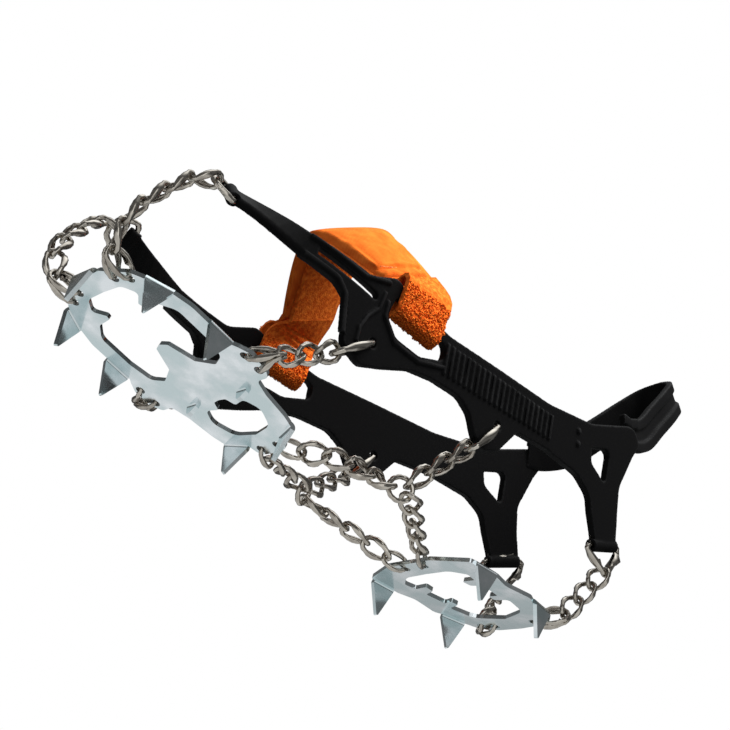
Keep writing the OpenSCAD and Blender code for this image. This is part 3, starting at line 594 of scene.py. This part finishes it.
class CLEAT_OT_harness(bpy.types.Operator):
    """Moulds the harness: the solid's skin with softly rounded edges and a curved heel loop"""

    bl_idname = "cleat.harness"
    bl_label = "Harness"

    def execute(self, context):
        rubber = settings().rubber
        mesh = mesh_of(merged_copy("harness"), "harness_moulding")
        obj = place_mesh(mesh, "harness_moulding", "harness", rubber_finish())
        skin = obj.modifiers.new("Skin", "REMESH")
        skin.mode = "SHARP"
        skin.octree_depth = rubber.detail
        skin.scale = 0.8
        skin.use_remove_disconnected = False
        skin.use_smooth_shade = True
        soften = obj.modifiers.new("Soften", "SMOOTH")
        soften.factor = 0.5
        soften.iterations = rubber.soften
        apply_modifiers(obj)
        round_loop(obj.data)
        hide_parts("harness")
        return {"FINISHED"}


class CLEAT_OT_plates(bpy.types.Operator):
    """Stamps the spike plates: flat faces with a narrow rounded edge"""

    bl_idname = "cleat.plates"
    bl_label = "Spike plates"

    def execute(self, context):
        finish = zinc_finish()
        for node in PLATES:
            bm = merged_copy(node)
            bmesh.ops.dissolve_limit(
                bm, angle_limit=FLAT, use_dissolve_boundaries=False, verts=bm.verts, edges=bm.edges,
                delimit={"NORMAL"})
            sharp = [e for e in bm.edges if len(e.link_faces) == 2 and e.calc_face_angle() > PLATE_CORNER]
            rounded = bmesh.ops.bevel(
                bm, geom=sharp, offset=settings().metal.edge, offset_type="OFFSET", affect="EDGES",
                segments=2, profile=0.5, material=-1, clamp_overlap=True)["faces"]
            for face in bm.faces:
                face.smooth = False
            for face in rounded:
                face.smooth = True
            name = node + "_stamping"
            obj = place_mesh(mesh_of(bm, name), name, node, finish, smooth=False)
            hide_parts(node)
        return {"FINISHED"}


class CLEAT_OT_chains(bpy.types.Operator):
    """Rounds the wire of the links, yokes, rings and connectors"""

    bl_idname = "cleat.chains"
    bl_label = "Chains and rings"

    def execute(self, context):
        metal = settings().metal
        chain = steel_finish("chain_steel", rough_low=0.17, rough_high=0.34, clean=0.45)
        ring = steel_finish("ring_steel", rough_low=0.14, rough_high=0.28, clean=0.7)
        for node in frame["nodes"]:
            if not any(word in node for word in WIRE_WORDS):
                continue
            bm = merged_copy(node)
            bmesh.ops.join_triangles(
                bm, faces=bm.faces, angle_face_threshold=math.pi, angle_shape_threshold=math.pi)
            for _ in range(metal.wire_rounds):
                bmesh.ops.subdivide_edges(bm, edges=bm.edges, cuts=1, use_grid_fill=True, smooth=1.0)
                bm.normal_update()
            for vert in bm.verts:
                vert.co -= vert.normal * metal.wire_fit
            thick = "ring" in node or "connector" in node
            name = node + "_wire"
            obj = place_mesh(mesh_of(bm, name), name, node, ring if thick else chain)
            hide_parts(node)
        return {"FINISHED"}


def loop_template(height, thick):
    """One loop of the pile: a thin arch that stands on its two feet, made by a spin."""
    bm = bmesh.new()
    ring = bmesh.ops.create_circle(bm, segments=3, radius=thick / 2)["verts"]
    bmesh.ops.translate(bm, verts=ring, vec=(height * 0.5, 0, 0))
    bmesh.ops.spin(
        bm, geom=bm.verts[:] + bm.edges[:], cent=(0, 0, 0), axis=(0, 1, 0), dvec=(0, 0, 0),
        angle=-math.pi, steps=5, use_merge=False)
    bmesh.ops.scale(bm, verts=bm.verts, vec=PILE_STRETCH)
    bm.verts.index_update()
    points = np.array([v.co for v in bm.verts])
    faces = np.array([[v.index for v in f.verts] for f in bm.faces])
    bm.free()
    return points, faces


def pile_mesh(name, faces, seed):
    """Loops scattered over the given strap faces, with a tone for each loop."""
    fabric = settings().fabric
    rng = np.random.default_rng(seed)
    points, quads = loop_template(fabric.loop_height, PILE_YARN * MM)
    places, turns = [], []
    for face in faces:
        count = rng.poisson(face.calc_area() / fabric.loop_gap ** 2)
        first, second, third = (np.array(v.co) for v in face.verts)
        out = np.array(face.normal)
        for _ in range(count):
            s, t = rng.random(2)
            if s + t > 1:
                s, t = 1 - s, 1 - t
            lean = out + rng.normal(0, PILE_LEAN, 3)
            lean /= np.linalg.norm(lean)
            side = np.cross(lean, rng.normal(0, 1, 3))
            side /= np.linalg.norm(side)
            places.append(first + s * (second - first) + t * (third - first) - out * PILE_SINK * MM)
            turns.append(np.stack([side, np.cross(lean, side), lean], axis=1) * rng.uniform(*PILE_SIZES))
    places, turns = np.array(places), np.array(turns)
    verts = np.einsum("nij,mj->nmi", turns, points) + places[:, None, :]
    index = quads[None, :, :] + (np.arange(len(places)) * len(points))[:, None, None]
    mesh = bpy.data.meshes.new(name)
    mesh.from_pydata(verts.reshape(-1, 3).tolist(), [], index.reshape(-1, quads.shape[1]).tolist())
    tone = mesh.attributes.new("loop_tone", "FLOAT", "POINT")
    tone.data.foreach_set("value", np.repeat(rng.beta(*PILE_TONES, len(places)), len(points)))
    return mesh


def is_wide(face):
    """True for a face of the strap's broad sides, false for one of its thin edges."""
    shortest = min(edge.calc_length() for edge in face.edges)
    return shortest > WIDE_EDGE * MM or face.calc_area() > WIDE_AREA * MM * MM


def cut_tongue(bm):
    """Trims the strap's loose end, and cuts its faces where the pile stops."""
    for place, along, trim in ((LOOSE_END, LOOSE_ALONG, True), (PILE_END, PILE_ALONG, False)):
        bmesh.ops.bisect_plane(
            bm, geom=bm.verts[:] + bm.edges[:] + bm.faces[:], plane_co=place * MM, plane_no=along,
            clear_outer=trim)
        if trim:
            bmesh.ops.holes_fill(bm, edges=[e for e in bm.edges if e.is_boundary], sides=0)
    bmesh.ops.triangulate(bm, faces=bm.faces)


def pile_faces(bm, node):
    """The strap's outer faces, which carry the pile, in a fixed order."""
    wide = [f for f in bm.faces if is_wide(f)]
    if node == "strap_band":
        seeds = [f for f in wide if f.normal.z < -FACING and f.calc_center_median().z < PILE_SEED_TOP * MM]
    else:
        seeds = [f for f in wide if f.normal.x < -FACING]
    outer = strip_faces(seeds, STRAP_BEND)
    shown = [f for f in outer if abs(f.calc_center_median().x) > PILE_START * MM]
    if node == "strap_tongue":
        shown = [f for f in shown if (f.calc_center_median() - PILE_END * MM).dot(PILE_ALONG) < 0]
    return sorted(shown, key=lambda f: tuple(f.calc_center_median()))


class CLEAT_OT_strap(bpy.types.Operator):
    """Weaves the strap: thin webbing with rounded edges, and loop pile on its outer face"""

    bl_idname = "cleat.strap"
    bl_label = "Strap"

    def execute(self, context):
        webbing = webbing_finish()
        pile = pile_finish()
        for seed, node in enumerate(("strap_band", "strap_tongue"), start=1):
            bm = merged_copy(node)
            if node == "strap_tongue":
                cut_tongue(bm)
            bm.normal_update()
            name = node + "_pile"
            place_mesh(pile_mesh(name, pile_faces(bm, node), seed), name, node, pile)
            corners = [e for e in bm.edges if e.calc_face_angle(0) > STRAP_CORNER]
            bmesh.ops.bevel(
                bm, geom=corners, offset=STRAP_EDGE * MM, offset_type="OFFSET", affect="EDGES",
                segments=3, profile=0.5, material=-1, clamp_overlap=True)
            name = node + "_webbing"
            obj = place_mesh(mesh_of(bm, name), name, node, webbing)
            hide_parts(node)
        return {"FINISHED"}


def fold_sheet(bm):
    """Shapes a flat grid into the strap between its fold and its loose end."""
    for vert in bm.verts:
        turn = math.radians(FOLD_TURN + FOLD_SPREAD * vert.co.x)
        lift = max(0.0, vert.co.x - FOLD_STRAIGHT) * FOLD_RISE
        out = Vector((math.cos(turn), 0, -math.sin(turn)))
        place = FOLD_MIDDLE + out * (FOLD_RADIUS + STRAP_THICK / 2 + FOLD_GAP) + Vector((0, 0, lift))
        vert.co = (place + FOLD_ALONG * vert.co.y * STRAP_WIDTH / 2) * MM


class CLEAT_OT_fold(bpy.types.Operator):
    """Bridges the strap's fold and its loose end with a sheet of webbing and its pile"""

    bl_idname = "cleat.fold"
    bl_label = "Strap fold"

    def execute(self, context):
        bm = bmesh.new()
        bmesh.ops.create_grid(bm, x_segments=8, y_segments=4, size=1.0)
        fold_sheet(bm)
        bmesh.ops.triangulate(bm, faces=bm.faces)
        bmesh.ops.reverse_faces(bm, faces=bm.faces)
        bm.normal_update()
        loops = pile_mesh("strap_fold_pile", bm.faces, seed=3)
        bmesh.ops.solidify(bm, geom=bm.faces[:], thickness=STRAP_THICK * MM)
        bmesh.ops.recalc_face_normals(bm, faces=bm.faces)
        sheet = mesh_of(bm, "strap_fold_webbing")
        # The sheet has no loop tone, so the pile's finish paints it in the fabric's shade colour: painted
        # shade between the loops
        for mesh in (sheet, loops):
            obj = dress(mesh, mesh.name, bpy.data.materials["loop_pile"])
            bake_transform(obj)
        return {"FINISHED"}


def instep_place(x, across, depth):
    """A place on the instep: how far from the crest, across the strap and below the pad's top."""
    root = math.hypot(x, CREST_ROUND)
    scale = PAD_FALL / (math.hypot(PAD_REACH, CREST_ROUND) - CREST_ROUND)
    out = (Vector((scale * x / root, 0, 0)) + INSTEP_OUT).normalized()
    top = CREST + Vector((x, 0, 0)) - scale * (root - CREST_ROUND) * INSTEP_OUT
    return (top - depth * out + across * INSTEP_ALONG) * MM


def instep_out(x):
    """The outward direction on the instep."""
    return (instep_place(x, 0, 0) - instep_place(x, 0, 1)).normalized()


def pad_half_width(x):
    share = abs(x) / PAD_REACH
    return (PAD_WIDTH + (PAD_END_WIDTH - PAD_WIDTH) * share) / 2 - END_ROUND * share ** 2


def cover_place(s, v):
    """The pad's cover at a place along and across it: crowned top, steep flanks, a hem at each end."""
    x = COVER_REACH * s
    half = pad_half_width(x)
    if abs(v) < CROWN_SHARE:
        across = (half - CROWN_INSET) * v / CROWN_SHARE
        depth = COVER_TOP + CROWN_FALL * abs(v / CROWN_SHARE) ** 3
    else:
        slide = (abs(v) - CROWN_SHARE) / (1 - CROWN_SHARE)
        across = math.copysign(half - CROWN_INSET + FLANK_RUN * slide, v)
        depth = COVER_TOP + CROWN_FALL
        depth += (COVER_BASE - depth) * slide
    depth += END_TILT * s * s * across / half * (1 - depth / COVER_BASE)
    left = COVER_REACH - abs(x)
    depth += SEAM_DEPTH * math.exp(-((left - HEM) / SEAM_WIDTH) ** 2)
    if left < HEM / 2:
        depth += (COVER_BASE - depth) * (1 - math.sqrt(max(0.0, 1 - (1 - 2 * left / HEM) ** 2)))
    return instep_place(x, across, depth)


def cloth_grid(columns, rows, half_length, half_width):
    """A flat grid from -1 to 1 with the cloth's own lengths as its UV."""
    bm = bmesh.new()
    cloth = bm.loops.layers.uv.new("Cloth")
    bmesh.ops.create_grid(bm, x_segments=columns, y_segments=rows, size=1.0)
    for face in bm.faces:
        for loop in face.loops:
            loop[cloth].uv = (loop.vert.co.x * half_length * MM, loop.vert.co.y * half_width * MM)
    return bm


def inflate(obj, sewn, pressure, slack, cap, frames=20):
    """Puffs a closed cover by cloth simulation: sewn points are held, no point moves more than the cap."""
    start = np.array([v.co for v in obj.data.vertices])
    group = obj.vertex_groups.new(name="sewn")
    group.add(sewn, 1.0, "REPLACE")
    cloth = obj.modifiers.new("Filling", "CLOTH")
    cloth.settings.quality = 6
    cloth.settings.mass = 0.02
    cloth.settings.use_pressure = True
    cloth.settings.uniform_pressure_force = pressure
    cloth.settings.shrink_min = -slack
    cloth.settings.vertex_group_mass = "sewn"
    cloth.settings.effector_weights.gravity = 0
    cloth.point_cache.frame_start, cloth.point_cache.frame_end = 1, frames
    for step in range(1, frames + 1):
        bpy.context.scene.frame_set(step)
    apply_modifiers(obj)
    bpy.context.scene.frame_set(1)
    obj.vertex_groups.clear()
    moved = np.array([v.co for v in obj.data.vertices]) - start
    length = np.linalg.norm(moved, axis=1, keepdims=True)
    held = start + moved * np.minimum(1.0, cap / np.maximum(length, 1e-9))
    obj.data.vertices.foreach_set("co", held.ravel())
    obj.data.update()


def stitch_mesh(name, rows, seed):
    """Stitches along rows of (place, direction, outward) with a little play in each."""
    rng = np.random.default_rng(seed)
    points, quads = loop_template(STITCH_HEIGHT * MM, THREAD * MM)
    points = points * np.array(STITCH_STRETCH)
    verts = []
    for place, along, out in rows:
        side = out.cross(along).normalized()
        turn = np.stack([np.array(along), np.array(side), np.array(out)], axis=1)
        verts.append(
            points @ turn.T * rng.uniform(*STITCH_SIZES) + np.array(place) - np.array(out) * STITCH_SINK * MM)
    index = quads[None, :, :] + (np.arange(len(verts)) * len(points))[:, None, None]
    mesh = bpy.data.meshes.new(name)
    mesh.from_pydata(np.concatenate(verts).tolist(), [], index.reshape(-1, quads.shape[1]).tolist())
    return mesh


class CLEAT_OT_pad(bpy.types.Operator):
    """Sews the padded cover over the instep: filled cover, base layer and stitching"""

    bl_idname = "cleat.pad"
    bl_label = "Instep pad"

    def cover(self):
        bm = cloth_grid(columns=84, rows=26, half_length=47, half_width=27)
        under = bmesh.ops.duplicate(bm, geom=bm.verts[:] + bm.edges[:] + bm.faces[:])["geom"]
        bmesh.ops.reverse_faces(bm, faces=[g for g in under if isinstance(g, bmesh.types.BMFace)])
        below = {g for g in under if isinstance(g, bmesh.types.BMVert)}
        for vert in bm.verts:
            s, v = vert.co.x, vert.co.y
            if vert in below:
                x = COVER_REACH * s
                vert.co = instep_place(x, v * (pad_half_width(x) - UNDER_INSET), COVER_BASE)
            else:
                vert.co = cover_place(s, v)
        bmesh.ops.remove_doubles(bm, verts=bm.verts, dist=COVER_WELD * MM)
        bmesh.ops.recalc_face_normals(bm, faces=bm.faces)
        return mesh_of(bm, "strap_pad_cover")

    def base_layer(self):
        """A thin bound layer under the cover, which shows as a lip all round."""
        bm = cloth_grid(columns=40, rows=12, half_length=48, half_width=27)
        for vert in bm.verts:
            x = (COVER_REACH + LIP_REACH) * vert.co.x
            vert.co = instep_place(x, vert.co.y * (pad_half_width(x) + LIP_OUT), LIP_DEPTH)
        bmesh.ops.recalc_face_normals(bm, faces=bm.faces)
        bmesh.ops.solidify(bm, geom=bm.faces[:], thickness=LIP_THICK * MM)
        bmesh.ops.recalc_face_normals(bm, faces=bm.faces)
        return mesh_of(bm, "strap_pad_base")

    def stitching(self):
        """A row along each side of the rim and one along each hem."""
        gap = settings().fabric.stitch / MM
        rows = []
        count = int(2 * PAD_REACH * RIM_SLOPE / gap)
        for side in (-1, 1):
            for i in range(count + 1):
                x = PAD_REACH * RIM_SHARE * (2 * i / count - 1)
                here, ahead = (
                    instep_place(at, side * (pad_half_width(at) + RIM_OUT), RIM_DEPTH)
                    for at in (x, x + RIM_STEP))
                out = (instep_out(x) + RIM_LEAN * side * INSTEP_ALONG).normalized()
                rows.append((here, (ahead - here).normalized(), out))
        for end in (-1, 1):
            x = end * (COVER_REACH - HEM)
            width = pad_half_width(x) - HEM_INSET
            count = int(2 * width / gap)
            for i in range(count + 1):
                across = -width + 2 * width * i / count
                place = instep_place(x, across, HEM_DEPTH + HEM_TILT * across / width)
                rows.append((place, INSTEP_ALONG, instep_out(x)))
        return stitch_mesh("strap_pad_stitching", rows, seed=7)

    def is_sewn(self, place):
        """True on the cover's flat underside, along its sewn rim and on the stitched hems."""
        x = place.x / MM
        deep = (instep_place(x, 0, 0) - place).dot(instep_out(x)) > LIP_DEPTH * MM
        return deep or abs(COVER_REACH - HEM - abs(x)) < SEAM_HELD

    def execute(self, context):
        fabric = settings().fabric
        finish = cover_finish()
        cover = place_mesh(self.cover(), "strap_pad_cover", "strap_pad", finish)
        sewn = [v.index for v in cover.data.vertices if self.is_sewn(v.co)]
        inflate(cover, sewn, fabric.puff, fabric.slack, fabric.puff_cap)
        fine = cover.modifiers.new("Fine", "SUBSURF")
        fine.levels = fine.render_levels = 1
        apply_modifiers(cover)
        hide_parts("strap_pad")
        place_mesh(self.base_layer(), "strap_pad_base", "strap_pad", finish)
        place_mesh(self.stitching(), "strap_pad_stitching", "strap_pad", thread_finish())
        return {"FINISHED"}


def area_light(name, place, target, width, height, watts, colour, mirrored):
    """A soft light that faces its target; the metal shows it only if it is mirrored."""
    data = bpy.data.lights.new(name, "AREA")
    data.shape = "RECTANGLE"
    data.size, data.size_y = width, height
    data.energy = watts
    data.color = colour
    obj = bpy.data.objects.new(name, data)
    bpy.context.collection.objects.link(obj)
    obj.location = place
    obj.rotation_euler = (Vector(target) - Vector(place)).to_track_quat("-Z", "Y").to_euler()
    obj.visible_glossy = mirrored


def sky(tree, height, tones):
    """A background that changes with height: (height from -1 to 1, tone) from the ground up."""
    ramp = tree.nodes.new("ShaderNodeValToRGB")
    tree.links.new(map_range(tree, height, -1.0, 1.0), ramp.inputs["Fac"])
    stops = ramp.color_ramp.elements
    while len(stops) < len(tones):
        stops.new(0.5)
    for stop, (place, tone) in zip(stops, tones):
        stop.position = (place + 1) / 2
        stop.color = (*(tone * tint for tint in SKY_TINT), 1)
    background = tree.nodes.new("ShaderNodeBackground")
    tree.links.new(ramp.outputs["Color"], background.inputs["Color"])
    return background


def studio_world():
    """White to the camera, soft from above for the cloth and rubber, and banded for the metal to mirror."""
    world = bpy.data.worlds.new("studio")
    bpy.context.scene.world = world
    world.use_nodes = True
    tree = world.node_tree
    tree.nodes.remove(tree.nodes["Background"])
    coords = tree.nodes.new("ShaderNodeTexCoord")
    split = tree.nodes.new("ShaderNodeSeparateXYZ")
    tree.links.new(coords.outputs["Generated"], split.inputs[0])
    height = split.outputs["Z"]
    path = tree.nodes.new("ShaderNodeLightPath")
    soft = sky(tree, height, ((-1.0, 0.10), (-0.2, 0.11), (0.3, 0.32), (1.0, 0.75)))
    banded = sky(tree, height, (
        (-1.0, 0.62), (-0.6, 0.76), (-0.32, 0.79), (-0.20, 0.16), (0.05, 0.04),
        (0.22, 0.15), (0.5, 0.15), (0.64, 0.06), (0.8, 0.3), (1.0, 2.0)))
    plain = tree.nodes.new("ShaderNodeBackground")
    plain.inputs["Color"].default_value = (1, 1, 1, 1)
    shown = soft.outputs[0]
    for ray, other in (("Is Glossy Ray", banded), ("Is Camera Ray", plain)):
        choose = tree.nodes.new("ShaderNodeMixShader")
        tree.links.new(path.outputs[ray], choose.inputs[0])
        tree.links.new(shown, choose.inputs[1])
        tree.links.new(other.outputs[0], choose.inputs[2])
        shown = choose.outputs[0]
    tree.links.new(shown, tree.nodes["World Output"].inputs["Surface"])


def studio_floor():
    """A floor under the spikes that catches their shadow and sends no light back."""
    bm = bmesh.new()
    bmesh.ops.create_grid(bm, x_segments=1, y_segments=1, size=FLOOR_HALF)
    bmesh.ops.translate(bm, verts=bm.verts, vec=(0, 0, CAD_LOW.z))
    mesh = mesh_of(bm, "studio_floor")
    mesh.materials.append(floor_finish())
    floor = bpy.data.objects.new("studio_floor", mesh)
    bpy.context.collection.objects.link(floor)
    floor.visible_shadow = False
    floor.visible_diffuse = False
    floor.visible_glossy = False
    floor.visible_transmission = False


def studio_camera():
    stage = settings().stage
    camera = bpy.data.cameras.new("camera")
    camera.sensor_width = 36.0
    camera.lens = stage.lens
    camera.clip_start = 0.01
    camera.clip_end = 20.0
    obj = bpy.data.objects.new("camera", camera)
    bpy.context.collection.objects.link(obj)
    right, up = Vector(stage.right), Vector(stage.up)
    turn = Matrix((right, up, right.cross(up))).transposed()
    obj.matrix_world = Matrix.Translation(Vector(stage.eye)) @ turn.to_4x4()
    return obj


class CLEAT_OT_stage(bpy.types.Operator):
    """Sets the floor, the studio light and the camera"""

    bl_idname = "cleat.stage"
    bl_label = "Stage"

    def execute(self, context):
        studio_floor()
        centre = (CAD_LOW + CAD_HIGH) / 2
        area_light(
            "key", place=(-0.50, -0.30, 1.1), target=centre, width=0.8, height=0.8, watts=40,
            colour=(1.0, 0.99, 0.97), mirrored=False)
        area_light(
            "fill", place=(-1.0, 0.6, 0.1), target=centre, width=0.6, height=1.0, watts=2,
            colour=(0.97, 0.99, 1.0), mirrored=True)
        studio_world()
        context.scene.camera = studio_camera()
        context.scene.view_settings.view_transform = "Standard"
        return {"FINISHED"}


class CLEAT_PT_panel(bpy.types.Panel):
    """Lists the pieces of the ice cleat in the order in which they are made"""

    bl_label = "Ice Cleat"
    bl_idname = "CLEAT_PT_panel"
    bl_space_type = "VIEW_3D"
    bl_region_type = "UI"
    bl_category = "Ice Cleat"

    def draw(self, context):
        for group in ("rubber", "metal", "fabric", "stage"):
            box = self.layout.box()
            values = getattr(context.scene.cleat, group)
            for label in values.__annotations__:
                box.prop(values, label)
        for operator in OPERATORS:
            self.layout.operator(operator.bl_idname)


OPERATORS = (
    CLEAT_OT_stage, CLEAT_OT_harness, CLEAT_OT_plates, CLEAT_OT_chains, CLEAT_OT_strap, CLEAT_OT_fold,
    CLEAT_OT_pad)
CLASSES = (CleatRubber, CleatMetal, CleatFabric, CleatStage, CleatSettings, *OPERATORS, CLEAT_PT_panel)
GROUPS = (grain_group, scratch_group, rubbed_and_highlight_group, weave_group)


def register():
    for cls in CLASSES:
        bpy.utils.register_class(cls)
    bpy.types.Scene.cleat = PointerProperty(type=CleatSettings)


def unregister():
    del bpy.types.Scene.cleat
    for cls in reversed(CLASSES):
        bpy.utils.unregister_class(cls)


def main():
    register()
    for make in GROUPS:
        make()
    bpy.ops.cleat.stage()
    bpy.ops.cleat.harness()
    bpy.ops.cleat.plates()
    bpy.ops.cleat.chains()
    bpy.ops.cleat.strap()
    bpy.ops.cleat.fold()
    bpy.ops.cleat.pad()


if __name__ == "__main__":
    main()
